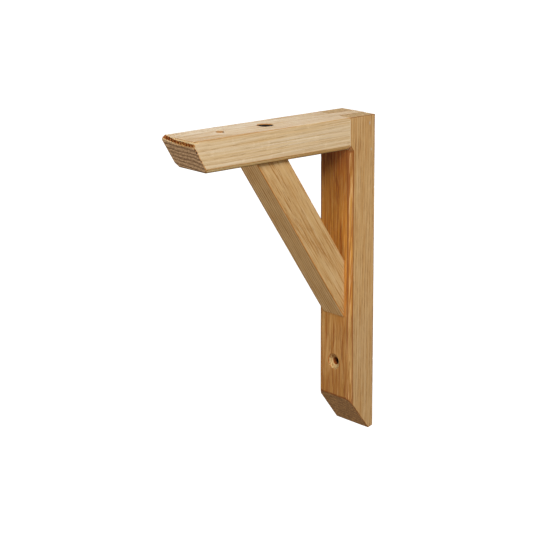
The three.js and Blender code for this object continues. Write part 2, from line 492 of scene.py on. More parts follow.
class Finish(Graph):
    """One material: a Principled shader and the nodes that feed it."""

    def __init__(self, name):
        self.material = bpy.data.materials.new(name)
        self.material.use_nodes = True
        super().__init__(self.material.node_tree)
        self.shader = self.tree.nodes["Principled BSDF"]

    def maths(self, operation, *operands):
        made = self.node("ShaderNodeMath", {"operation": operation}, dict(enumerate(operands)))
        return Value(self, made.outputs[0])

    def vector(self, operation, *operands):
        made = self.node("ShaderNodeVectorMath", {"operation": operation}, dict(enumerate(operands)))
        return made.outputs["Value" if operation in ("DOT_PRODUCT", "LENGTH") else "Vector"]

    def ramp(self, value, low, high):
        """0 below low, 1 above high and smooth between; it falls where low is above high."""
        inputs = {"Value": value, "From Min": low, "From Max": high}
        made = self.node("ShaderNodeMapRange", {"interpolation_type": "SMOOTHSTEP"}, inputs)
        return Value(self, made.outputs["Result"])

    def joined(self, *parts):
        return self.node("ShaderNodeCombineXYZ", None, dict(enumerate(parts))).outputs[0]

    def fibres(self, place, stretch, detail=2.0, roughness=0.5):
        """Noise drawn out by this stretch, which holds its turns per millimetre on each axis."""
        scaled = self.vector("MULTIPLY", place, stretch)
        inputs = {"Vector": scaled, "Scale": 1.0, "Detail": detail, "Roughness": roughness}
        return Value(self, self.node("ShaderNodeTexNoise", None, inputs).outputs["Fac"])

    def mix(self, below, above, share, blend="MIX"):
        settings = {"data_type": "RGBA", "blend_type": blend}
        return self.node("ShaderNodeMix", settings, {0: share, 6: below, 7: above}).outputs[2]

    def tint(self, colour, *marks):
        """The colour under these marks. Each mark is its share of every channel and its strength."""
        for share, strength in marks:
            colour = self.mix(colour, (*share, 1.0), strength, "MULTIPLY")
        return colour

    def fact(self, name):
        return Value(self, self.node("ShaderNodeAttribute", {"attribute_name": name}).outputs["Fac"])

    def place_mm(self, shift=(0, 0, 0)):
        """Where the surface is, in millimetres in the bracket's frame."""
        coordinates = self.node("ShaderNodeTexCoord").outputs["Object"]
        scaled = self.node("ShaderNodeVectorMath", {"operation": "SCALE"}, {0: coordinates, "Scale": 1 / MM})
        return self.vector("ADD", scaled.outputs["Vector"], shift)


# Finishes
def tone(code):
    """A web colour code as linear values."""
    channels = [int(code[i : i + 2], 16) / 255 for i in (0, 2, 4)]
    return (*[c / 12.92 if c <= 0.04045 else ((c + 0.055) / 1.055) ** 2.4 for c in channels], 1.0)


# How far each mark in the wood departs from the batten's own colour, as a share of each channel
LIGHT_STREAK = (1.07, 1.14, 1.28)
DARK_STREAK = (0.94, 0.86, 0.7)
WARM_STREAK = (0.97, 0.83, 0.56)
EARLY_WOOD = (0.76, 0.63, 0.42)
LATE_WOOD = (1.12, 1.16, 1.22)
PORE_LINE = (0.7, 0.5, 0.24)
PALE_FIBRE = (1.14, 1.28, 1.6)
OPEN_PORE = (0.5, 0.33, 0.15)
RAY_FLECK = (1.15, 1.22, 1.36)
DARK_STRAND = (0.84, 0.66, 0.38)
LIGHT_STRAND = (1.12, 1.2, 1.36)
SAWN_SPECK = (0.62, 0.58, 0.52)
SAWN_PALE = (1.26, 1.3, 1.36)
SAWN_BAND = (0.38, 0.31, 0.25)
SAWN_PORE = (0.4, 0.32, 0.25)
DRILL_MARK = (0.62, 0.5, 0.36)
# Painted shade on the upper side of a drilled cone and on a bore's walls
CONE_SHADE = (0.6, 0.5, 0.36)

# The battens: colours of planed wood, sawn end, drilled cone, bore and rubbed arris; shares of the
# planed colour on the flat-sawn face and on chamfers; the grain's direction; the direction across the
# rings, which points out of the flat-sawn face, their spacing and the pith; how strongly each kind of
# mark shows, with front_lines added on the flat-sawn face; how long a line is; and the seed of the noise
LEG_OAK = {
    "planed": "c8a473", "flat": (0.89, 0.64, 0.32), "chamfer": (0.82, 0.82, 0.72), "end": "a57a4b",
    "bored": "d4b67e", "deep": "b8601c", "arris": "82480e", "end_bands": 0.25,
    "grain": (0.008, 0.022, 1.0), "rings": (0.35, -1.0, 0.0), "ring_gap": 2.1, "pith": (-90, 40),
    "rings_show": 0.32, "lines_show": 0.38, "front_lines": 0.42, "pores_show": 0.6, "strands_show": 0.19,
    "streaks_show": 0.35, "line_length": 28, "seed": 1,
}
# On the arm the flat share lifts the top face: flat-sawn tone and partly a painted sheen. Its chamfer share
# brightens the lower chamfers and the underside: painted light from below.
ARM_OAK = {
    "planed": "d6bc95", "flat": (1.12, 1.16, 1.25), "chamfer": (1.35, 1.26, 0.93), "end": "cea880",
    "bored": "dcb785", "deep": "c48640", "arris": "b9813f", "end_bands": 0.75,
    "grain": (0.0, 1.0, 0.018), "rings": (0.07, 0.0, 1.0), "ring_gap": 2.7, "pith": (-400, 20),
    "rings_show": 0.25, "lines_show": 0.3, "front_lines": 0.36, "pores_show": 0.35, "strands_show": 0.12,
    "streaks_show": 0.65, "line_length": 45, "seed": 2,
}
BRACE_OAK = {
    "planed": "c9a471", "flat": (1.04, 1.05, 1.03), "chamfer": (1.0, 1.0, 1.0), "end": "a17b4e",
    "bored": "d9b07a", "deep": "b8601c", "arris": "b9762c", "end_bands": 0.4,
    "grain": (0.01, BRACE_RUN, -BRACE_DROP), "rings": (0.93, -0.31, -0.2), "ring_gap": 2.3, "pith": (-80, 30),
    "rings_show": 1.0, "lines_show": 0.65, "front_lines": 0.05, "pores_show": 0.55, "strands_show": 0.06,
    "streaks_show": 0.18, "line_length": 24, "seed": 3,
}
# Down the leg's front: the depths between which another tint comes in, the tint, and how far the chamfers
# follow it. The second and third are painted shade that darkens the leg just under the arm; the rest are
# tone.
LEG_TINTS_AND_SHADE = (
    (145, 105, (1.2, 1.08, 0.57), 0.2), (70, 35, (0.585, 0.475, 0.28), 0.62),
    (38, 22, (0.72, 0.6, 0.5), 0.5), (118, 132, (0.88, 0.91, 0.94), 0.85),
    (155, 178, (0.79, 0.66, 0.38), 0.95),
)
# Pale flecks on the leg's right side: middle and half size
LEG_FLECKS = (((HALF, -4.3, TOP - 5), (2.0, 0.5, 1.1)), ((HALF, -2.9, TOP - 21.5), (2.0, 0.4, 0.9)))
# Painted shade, near black, deep in the bores and round the screw's head
DEEP_SHADE = "1c0e06"
TORN_OAK = {"dark": "b87428", "light": "deae68", "hollow": "964c0e", "pale": "f0dcae", "broken": "3a2010"}
FLECK_GREY = "bdb7aa"
OILED_PALE = "cca068"
# Paler end grain at the very top: sanded wood and partly a painted sheen
SANDED_AND_SHEEN = (1.38, 1.56, 1.64)
FRESH_EDGE = "ecd8b0"
# Painted shade: the dark line along the arm's lower edges
UNDER_EDGE_SHADE = "5c3c18"


class Oak(Finish):
    """Oak, worked out in depth, so that its rings run on over the edges: what grew in a batten and what
    was done to it, as values over its surface."""

    def __init__(self, name, batten):
        super().__init__(name)
        self.batten = batten
        self.flat = self.fact("flat_sawn")
        self.chamfer = self.fact("chamfer")
        self.end_grain = self.fact("end_grain")
        self.bored = self.fact("bored")
        split = self.node("ShaderNodeSeparateXYZ", None, {0: self.place_mm()}).outputs
        self.out_mm, self.height_mm = Value(self, split[1]), Value(self, split[2])
        seed = batten["seed"]
        place = self.place_mm((seed * 17.3, seed * 5.1, seed * 11.9))
        grain, rings = grain_and_rings(batten)
        ways = (grain, rings, grain.cross(rings))
        self.grown = [Value(self, self.vector("DOT_PRODUCT", place, way)) for way in ways]
        self.local = self.joined(*self.grown)
        grow_rings(self)
        grow_fibres(self)


def grow_rings(f):
    """Growth rings round a pith outside the batten, unevenly spaced and a little wavy."""
    depth, side = f.grown[1:]
    pith_depth, pith_side = f.batten["pith"]
    wander = f.fibres(f.local, (0.012, 0.05, 0.05), 1.0) * 4.0
    squeeze = f.fibres(f.local, (0.006, 0.35, 0.05), 1.0) * 1.4
    radius = Value(f, f.vector("LENGTH", f.joined(depth - pith_depth, side - pith_side)))
    f.ring = f.maths("FRACT", (radius + wander + squeeze) / f.batten["ring_gap"])
    f.early = f.ramp(f.ring, 0.5, 0.1) * f.ramp(f.ring, 0.0, 0.07)
    f.late = f.ramp(f.ring, 0.5, 0.8) * f.ramp(f.ring, 1.0, 0.93)


def grow_fibres(f):
    """Streaks, pore lines, open pores, fibres and rays, all long along the grain."""
    run = 1 / f.batten["line_length"]
    f.streak = f.fibres(f.local, (0.5 * run, 0.4, 0.4))
    f.warmth = f.fibres(f.local, (0.4 * run, 0.3, 0.5))
    f.strand = f.fibres(f.local, (0.5 * run, 1.1, 1.1))
    f.line_field = f.fibres(f.local, (run, 1.4, 1.4), 2.0, 0.6)
    f.lines = f.ramp(f.line_field + f.early * 0.05, 0.54, 0.62)
    f.pale_lines = f.ramp(f.fibres(f.local, (run, 1.7, 1.7), 2.0, 0.6), 0.54, 0.62)
    f.pore_field = f.fibres(f.local, (0.15, 2.6, 2.6), 1.0, 0.4)
    f.pores = f.ramp(f.pore_field, 0.57, 0.66) * (0.35 + 0.65 * f.early)
    f.fibre = f.fibres(f.local, (0.06, 6.0, 6.0), 2.0, 0.6)
    f.rays = f.ramp(f.fibres(f.local, (0.35, 0.12, 3.2), 1.0, 0.4), 0.6, 0.72)
    f.speck = f.fibres(f.local, (0.8, 0.95, 0.95), 3.0, 0.75)


def planed_wood(f, tints_and_shade):
    """The planed faces, from broad streaks down to open pores."""
    streaks_show = f.batten["streaks_show"]
    colour = f.tint(
        tone(f.batten["planed"]),
        (DARK_STREAK, f.ramp(f.streak, 0.5, 0.3) * streaks_show),
        (LIGHT_STREAK, f.ramp(f.streak, 0.5, 0.7) * streaks_show),
        (WARM_STREAK, f.ramp(f.warmth, 0.52, 0.72) * 0.25),
        # On the arm the flat share is partly a painted sheen on the top, the chamfer share painted light on
        # the lower chamfers and underside
        (f.batten["flat"], f.flat),
        (f.batten["chamfer"], f.chamfer),
    )
    # Some of these tints are painted shade on the leg just under the arm
    for start, end, tint, on_chamfer in tints_and_shade:
        where = f.maths("MAXIMUM", f.flat, f.chamfer * on_chamfer)
        colour = f.tint(colour, (tint, f.ramp(f.height_mm, TOP - start, TOP - end) * where))
    front = f.maths("MAXIMUM", f.flat, f.chamfer * 0.85)
    rings_show = f.batten["rings_show"] * (1 - 0.75 * f.flat)
    strands_show = f.batten["strands_show"] * (1 + 4 * front)
    lines_show = f.batten["lines_show"] + f.batten["front_lines"] * front
    colour = f.tint(
        colour,
        (EARLY_WOOD, f.early * rings_show),
        (LATE_WOOD, f.late * rings_show),
        (RAY_FLECK, f.rays * 0.3),
        (DARK_STRAND, f.ramp(f.strand, 0.49, 0.44) * strands_show),
        (LIGHT_STRAND, f.ramp(f.strand, 0.53, 0.59) * strands_show),
        (PALE_FIBRE, f.pale_lines * (0.35 + 0.5 * f.chamfer)),
    )
    if f.batten is LEG_OAK:
        colour = f.mix(colour, tone(OILED_PALE), f.pale_lines * (0.5 * f.flat + 0.55 * f.chamfer))
    return f.tint(colour, (PORE_LINE, f.lines * lines_show), (OPEN_PORE, f.pores * f.batten["pores_show"]))


def sawn_wood(f, colour):
    """Sawn ends drink more oil: darker and browner, with pores as specks and rings as bands. End grain at the
    very top is paler: sanded wood, and partly a painted sheen.
    """
    sanded_and_sheen = f.fact("sanded_and_sheen")
    bands = f.ramp(f.ring + (f.speck - 0.5) * 0.14, 0.55, 0.4) * f.ramp(f.ring, 0.0, 0.1)
    sawn = f.tint(
        tone(f.batten["end"]),
        (SAWN_SPECK, f.ramp(f.speck, 0.51, 0.43)),
        (SAWN_PALE, f.ramp(f.speck, 0.52, 0.59)),
        (SAWN_BAND, bands * f.batten["end_bands"]),
        (SAWN_PORE, f.ramp(f.pore_field, 0.56, 0.64) * 0.5),
    )
    return f.tint(f.mix(colour, sawn, f.end_grain * (1 - 0.35 * sanded_and_sheen)), (SANDED_AND_SHEEN, sanded_and_sheen))


def drilled_wood(f, colour):
    """Fresh pale wood in the cone, with a little painted shade on its upper side; dark orange where the bore
    starts, and painted shade, near black, further in and round the screw's head.
    """
    deep = f.fact("deep")
    drill_marks = f.ramp(f.strand, 0.5, 0.42) * f.bored
    colour = f.mix(colour, tone(f.batten["bored"]), f.bored * 0.7)
    # Painted shade: a little on the cone's upper side, fully on the bore's walls, near black further in
    colour = f.tint(colour, (DRILL_MARK, drill_marks), (CONE_SHADE, f.ramp(deep, 0.0, 0.22)))
    colour = f.mix(colour, tone(f.batten["deep"]), f.ramp(deep, 0.22, 0.3) * 0.9)
    return f.mix(colour, tone(DEEP_SHADE), f.ramp(deep, 0.4, 1.0) * 0.95)


def rubbed_wood(f, colour):
    """Rubbed arrises show a thin broken line of darker, warmer wood. It is wider down the leg's front edges.
    Along the arm's lower edges the line is wider and dark brown: painted shade under the arm."""
    reach = 0.0
    arris = tone(f.batten["arris"])
    if f.batten is LEG_OAK:
        below_arm = f.ramp(f.height_mm, ARM_UNDER, ARM_UNDER - 2)
        reach = 0.34 * f.ramp(f.out_mm, LEG_FRONT + 1.8, LEG_FRONT + 0.9) * below_arm
    if f.batten is ARM_OAK:
        # Along the arm's lower edges the line widens and turns dark brown: painted shade under the arm
        under = f.ramp(f.height_mm, ARM_UNDER + 1.4, ARM_UNDER + 0.7)
        reach = 0.35 * under
        arris = f.mix(arris, tone(UNDER_EDGE_SHADE), under)
    rubbed = f.ramp(f.fact("arris") + f.line_field * 0.7 - reach, 0.95, 0.6)
    unbroken = f.ramp(f.streak, 0.22, 0.46) * (1 - f.bored)
    return f.mix(colour, arris, rubbed * unbroken * 0.85)


def shoulder_edge(f, colour):
    """The thin pale edge of the arm's shoulder where it meets the leg."""
    edge = f.ramp(f.out_mm, LEG_FRONT - 0.9, LEG_FRONT - 0.4) * f.ramp(f.out_mm, LEG_FRONT + 0.3, LEG_FRONT)
    return f.mix(colour, tone(FRESH_EDGE), edge * f.ramp(f.height_mm, TOP - 0.5, TOP - 1.5) * 0.7)


def torn_wood(f, colour, hairs):
    hollow = f.fact("hollow")
    raw = f.mix(tone(TORN_OAK["dark"]), tone(TORN_OAK["light"]), f.ramp(hairs, 0.42, 0.58))
    raw = f.mix(raw, tone(TORN_OAK["pale"]), f.fact("pale"))
    raw = f.mix(raw, tone(TORN_OAK["hollow"]), f.ramp(hollow, 0.0, 1.0))
    raw = f.mix(raw, tone(TORN_OAK["broken"]), f.ramp(hollow, 1.0, 2.0))
    return f.mix(colour, raw, f.fact("torn"))


def flecked_wood(f, colour, flecks):
    for middle, size in flecks:
        gap = f.vector("SUBTRACT", f.place_mm(), middle)
        from_middle = Value(f, f.vector("LENGTH", f.vector("DIVIDE", gap, size)))
        spot = f.ramp(from_middle + (f.line_field - 0.5) * 3.0, 1.1, 0.6)
        colour = f.mix(colour, tone(FLECK_GREY), spot * 0.6)
    return colour


def oak(name, batten, flecks=(), tints_and_shade=()):
    """Planed oak under a thin clear oil."""
    f = Oak(name, batten)
    colour = rubbed_wood(f, drilled_wood(f, sawn_wood(f, planed_wood(f, tints_and_shade))))
    rough = 0.6 + 0.1 * f.fibre + 0.08 * f.early + 0.12 * f.end_grain - 0.06 * f.rays
    height = 0.5 * f.fibre - f.pores - 0.5 * f.lines - 0.2 * f.early - 0.35 * f.speck * f.end_grain
    if batten is ARM_OAK:
        torn = f.fact("torn")
        hairs = f.fibres(f.local, (0.35, 4.0, 4.0), 3.0, 0.7)
        colour = torn_wood(f, shoulder_edge(f, colour), hairs)
        rough = rough + 0.2 * torn
        height = height + 2.5 * hairs * torn
    bump = f.node("ShaderNodeBump", None, {"Strength": 0.6, "Distance": 0.00012, "Height": height})
    f.plug(f.shader.inputs["Base Color"], flecked_wood(f, colour, flecks))
    f.plug(f.shader.inputs["Roughness"], rough)
    f.plug(f.shader.inputs["Normal"], bump.outputs[0])
    f.shader.inputs["IOR"].default_value = 1.46
    return f.material


def black_steel():
    """Black coated steel, rubbed dark grey in places."""
    f = Finish("black_steel")
    scuff = f.fibres(f.place_mm(), (1.5, 1.5, 1.5), 4.0, 0.6)
    f.plug(f.shader.inputs["Base Color"], f.mix(tone("030405"), tone("101113"), f.ramp(scuff, 0.6, 0.8)))
    f.plug(f.shader.inputs["Roughness"], 0.45 + 0.2 * scuff)
    f.shader.inputs["Specular IOR Level"].default_value = 0.01
    bump = f.node("ShaderNodeBump", None, {"Strength": 0.3, "Distance": 0.00005, "Height": scuff})
    f.plug(f.shader.inputs["Normal"], bump.outputs[0])
    return f.material


def pale_floor():
    f = Finish("pale_floor")
    f.shader.inputs["Base Color"].default_value = tone("fbfbfb")
    f.shader.inputs["Roughness"].default_value = 0.9
    f.shader.inputs["Emission Color"].default_value = (1, 1, 1, 1)
    f.shader.inputs["Emission Strength"].default_value = 1.0
    return f.material


# Geometry Nodes
SOCKETS = {float: "NodeSocketFloat", int: "NodeSocketInt", bpy.types.Material: "NodeSocketMaterial"}


class Grower(Graph):
    """A Geometry Nodes tree with named inputs for its sizes."""

    def __init__(self, name, sizes):
        super().__init__(bpy.data.node_groups.new(name, "GeometryNodeTree"))
        face = self.tree.interface
        face.new_socket("Geometry", in_out="INPUT", socket_type="NodeSocketGeometry")
        face.new_socket("Geometry", in_out="OUTPUT", socket_type="NodeSocketGeometry")
        self.values = {}
        for label, value in sizes.items():
            socket = face.new_socket(label, in_out="INPUT", socket_type=SOCKETS[type(value)])
            self.values[socket.identifier] = value
        self.inputs = self.node("NodeGroupInput").outputs

    def part(self, kind, inputs, settings=None):
        """What comes first out of a Geometry Nodes node of this kind."""
        return self.node("GeometryNode" + kind, settings, inputs).outputs[0]

    def grow(self, base, geometry):
        """Ends the tree, runs it on the base shape and returns what grew as a plain shape."""
        real = self.part("RealizeInstances", {0: geometry})
        coated = self.part("SetMaterial", {0: real, "Material": self.inputs["Finish"]})
        self.node("NodeGroupOutput", None, {0: coated})
        target = workshop_object(base, "base")
        modifier = target.modifiers.new("grow", "NODES")
        modifier.node_group = self.tree
        for identifier, value in self.values.items():
            modifier[identifier] = value
        return result_of(target)


def splinters(torn_skin, finish):
    """Short fibres that stand out of the torn wood along the grain."""
    sizes = {"Finish": finish, "Density": 3.2, "Length": 0.9, "Thickness": 0.13, "Tip": 0.015, "Seed": 11}
    root_depth = 0.3
    least_lean, most_lean = (math.radians(62), -0.3, -0.35), (math.radians(108), 0.3, 0.35)
    least_size, most_size = (0.5, 0.5, 0.35), (1.5, 1.1, 1.2)
    g = Grower("splinters", sizes)
    size = g.inputs

    def scattered(least, most):
        inputs = {0: least, 1: most, "Seed": size["Seed"]}
        return g.node("FunctionNodeRandomValue", {"data_type": "FLOAT_VECTOR"}, inputs).outputs[0]

    points = g.part("DistributePointsOnFaces", {
        "Mesh": size["Geometry"], "Density": size["Density"], "Seed": size["Seed"],
    })
    spike = g.part("MeshCone", {
        "Vertices": 5, "Radius Top": size["Tip"], "Radius Bottom": size["Thickness"], "Depth": size["Length"],
    })
    rooted = g.part("Transform", {0: spike, "Translation": (0, 0, -root_depth)})
    standing = g.part("InstanceOnPoints", {
        "Points": points, "Instance": rooted,
        "Rotation": scattered(least_lean, most_lean), "Scale": scattered(least_size, most_size),
    })
    return g.grow(torn_skin, standing)


def screw_thread(finish):
    """The thread's ridge, wound up the shank and then narrower round the point."""
    sizes = {
        "Finish": finish,
        "Root radius": THREAD_ROOT,
        "Point radius": 0.35,
        "Straight length": THREAD_LENGTH,
        "Straight turns": THREAD_LENGTH / THREAD_PITCH,
        "Point length": SCREW_POINT,
        "Point turns": SCREW_POINT / THREAD_PITCH,
        "Ridge": SHANK_RADIUS - THREAD_ROOT,
    }
    g = Grower("screw_thread", sizes)
    size = g.inputs

    def coil(turns, first_radius, height):
        spiral = {"Resolution": 24, "Rotations": turns, "Height": height}
        spiral |= {"Start Radius": first_radius, "End Radius": size["Root radius"]}
        path = g.part("CurveSpiral", spiral)
        ridge = g.part("CurvePrimitiveCircle", {"Resolution": 4, "Radius": size["Ridge"]}, {"mode": "RADIUS"})
        return g.part("CurveToMesh", {"Curve": path, "Profile Curve": ridge, "Fill Caps": True})

    straight = coil(size["Straight turns"], size["Root radius"], size["Straight length"])
    lifted = g.part("Transform", {0: straight, "Translation": (0, 0, SCREW_POINT)})
    pointed = coil(size["Point turns"], size["Point radius"], size["Point length"])
    both = g.node("GeometryNodeJoinGeometry")
    g.plug(both.inputs[0], lifted)
    g.plug(both.inputs[0], pointed)
    return g.grow(bmesh.new(), both.outputs[0])


# The pieces
def countersunk_tool(depth, seed):
    """What a countersunk screw hole removes: its mouth at height 0, the hole down the Z axis."""
    corners = [
        (0, -depth - BEYOND), (BORE, -depth - BEYOND), (BORE, -SINK_DEPTH), (BORE + 0.3, -SINK_DEPTH + 0.3),
        (SINK_MOUTH - 0.1, -SINK_STEP), (SINK_MOUTH, 0), (SINK_MOUTH, BEYOND), (0, BEYOND),
    ]
    return turned(corners, wobble=0.06, seed=seed)


def screw_pocket_tool(depth):
    """What is cut away for the black screw, from the arm's top down to this depth."""
    sink = TOP - SCREW_TOP
    seat_bottom = -sink - (POCKET_RADIUS - SHANK_HOLE)
    corners = [
        (0, -depth), (SHANK_HOLE, -depth + SHANK_HOLE), (SHANK_HOLE, seat_bottom),
        (POCKET_RADIUS, -sink), (POCKET_RADIUS, BEYOND), (0, BEYOND),
    ]
    return moved(turned(corners, wobble=0.04, seed=3), Matrix.Translation((0, SCREW_Y, TOP)))


def leg_chamfer_tools(side):
    """What the chamfer takes off one front edge of the leg, and its run-out below the arm."""
    inner_x = side * (HALF - CHAMFER)
    outer_x = side * (HALF + BEYOND)
    back_y = LEG_FRONT + CHAMFER
    outer_y = LEG_FRONT - BEYOND
    full_z = ARM_UNDER + CHAMFER - CHAMFER_RUN_OUT

    def flat(z):
        return [(outer_x, back_y + BEYOND, z), (inner_x - side * BEYOND, outer_y, z), (outer_x, outer_y, z)]

    run_out_end = (side * HALF, LEG_FRONT, ARM_UNDER + CHAMFER)
    return hull(flat(full_z) + flat(FOOT - BEYOND)), hull(flat(full_z) + [run_out_end])


def make_leg(material):
    wood = prism(
        [
            (WALL, TOP), (LEG_FRONT, TOP), (LEG_FRONT, FOOT + FOOT_CUT_HEIGHT),
            (WALL - FOOT_TIP_SETBACK, FOOT), (WALL, FOOT + FOOT_TIP_RISE),
        ],
        HALF,
    )
    for side in (1, -1):
        for tool in leg_chamfer_tools(side):
            wood = carve(wood, tool, bored=False)
    slot_half = TENON_HALF + SEAM
    slot_low = (-slot_half, LEG_FRONT - BEYOND, ARM_UNDER - SEAM)
    wood = carve(wood, block(slot_low, (slot_half, WALL + BEYOND, TOP + BEYOND)), bored=False)
    edges = hard_edges(wood, skip=lambda middle: middle.y < LEG_FRONT + 0.5 and middle.z > ARM_UNDER + 0.5)
    lying = Matrix.Translation((0, LEG_FRONT, WALL_HOLE_Z)) @ Matrix.Rotation(math.pi / 2, 4, "X")
    wood = carve(wood, moved(countersunk_tool(WALL - LEG_FRONT, 1), lying))

    def share(middle):
        at_slot = abs(middle.x) < slot_half + 0.5 and middle.z > ARM_UNDER - 1
        at_shoulder = middle.y < LEG_FRONT + 0.5 and middle.z > ARM_UNDER + 0.5
        at_hole = abs(middle.x) < SINK_MOUTH + 1 and abs(middle.z - WALL_HOLE_Z) < SINK_MOUTH + 1
        return 0.0 if at_hole else 0.15 if at_slot or at_shoulder else 1.0

    def still(point):
        at_shoulder = point.y < LEG_FRONT + 0.3 or abs(point.x) < slot_half + 0.3
        return point.z > ARM_UNDER - 0.5 and at_shoulder

    wood = ease(wood, share)
    slice_skin(wood, [
        ((0, 0, 1), spaced(FOOT, TOP, SKIN_GRID)),
        ((0, 1, 0), spaced(LEG_FRONT, WALL, SKIN_GRID)),
        ((1, 0, 0), spaced(-HALF, HALF, SKIN_GRID)),
    ])
    wear(wood, edges, 1, still)
    facts = wood_facts(wood, edges, LEG_OAK, Vector((0, 1, 0)), (LEG_FRONT, WALL))
    hand_over(wood, "wall_leg_oak", "wall_leg", material, facts)


def tear_at(x, down):
    """The torn wood at a place across the arm and a depth below its top: how far behind the sawn front
    it lies, how hollow it is and how pale."""
    foot = between(TEAR_DOWN, x) + 0.3 * noise.noise(Vector((x * 1.1, 3, 7)))
    if down >= foot:
        return 0.0, 0.0, 0.0
    share = down / foot
    far = rise(-x, -2, 8)
    wander = noise.noise(Vector((x * 0.45, down * 0.8, 4)))
    back = between(TEAR_BACK, x) + 0.15 * noise.noise(Vector((x * 2.3, 1, 9)))
    start = between(STRANDS_DOWN, x) + 0.2 * wander
    band = rise(down, start - 0.15, start + 0.15)
    bar = 0.5 + 0.5 * math.sin(math.tau * (x + 0.4 * down + 1.6 * wander) / STRAND_GAP)
    bar = rise(bar, 0.25, 0.6)
    lip = rise(down, foot - 0.7, foot - 0.4)
    crack = rise(x, -4, -1) * hump(down, 0.15, 0.4)
    dark = band * (0.4 + 0.6 * bar) * (1 - lip)
    loss = back * (1 - share) ** 1.5 + 0.2 + 0.8 * dark + 0.4 * crack
    hollow = max(dark * (0.82 + 0.6 * far + 0.4 * wander), 0.4 * crack)
    pale = max(0.75 * (1 - band), lip * (0.4 + 0.6 * far)) * (1 - min(1.0, hollow))
    return loss, min(1.5, hollow), pale


def side_crack_at(y, down):
    """The crack that runs back from the tear along the arm's right side."""
    behind = y - ARM_SHARP_TIP
    return rise(6.5 - behind, 0.0, 2.0) * hump(down, 0.35 + 0.13 * behind, 0.32)


def nick_at(y, down):
    """The small breaks down the right edge of the sawn front: how deep, at this place on the side."""
    depth = 0.0
    for nick_down, radius, deep in NICKS:
        nick_y = ARM_SHARP_TIP + nick_down * ARM_SLOPE
        depth = max(depth, deep * (1 - rise(math.hypot(y - nick_y, down - nick_down), 0.2 * radius, radius)))
    return depth


def tear_tip(wood):
    """Breaks the sawn front's upper edge. Returns the layers that hold how torn, hollow and pale it is."""
    layers = {fact: wood.verts.layers.float.new(fact) for fact in ("torn", "hollow", "pale")}
    for vert in wood.verts:
        down = TOP - vert.co.z
        if vert.co.y > TIP_BACK or down > TIP_DOWN:
            continue
        x, y = vert.co.x, vert.co.y
        loss, hollow, pale = tear_at(x, down)
        torn_y = max(ARM_SHARP_TIP + down * ARM_SLOPE + loss, TORN_LIMIT)
        torn = 0.0
        if loss > 0 and y < torn_y + 0.02:
            vert.co.y = torn_y
            torn = rise(loss, 0.05, 0.25)
        elif down < 0.2:
            torn = 0.75 * rise(torn_y + 0.75 - y, 0.0, 0.4)
            hollow, pale = 0.35 * rise(x, -4, -1), 0.7 * rise(-x, 1, 4)
        if x > HALF - 0.6:
            crack = side_crack_at(y, down)
            nick = nick_at(y, down)
            vert.co += Vector((-0.35 * crack - nick, 0.6 * nick, 0))
            hollow = max(hollow * torn, 0.5 * crack, 2 * rise(nick, 0.05, 0.25))
            torn = max(torn, rise(crack, 0.2, 0.6), rise(nick, 0.05, 0.2))
        vert[layers["torn"]] = torn
        vert[layers["hollow"]] = hollow
        vert[layers["pale"]] = pale
    torn_points = [vert for vert in wood.verts if vert[layers["torn"]] > 0]
    bmesh.ops.remove_doubles(wood, verts=torn_points, dist=0.02)
    return layers


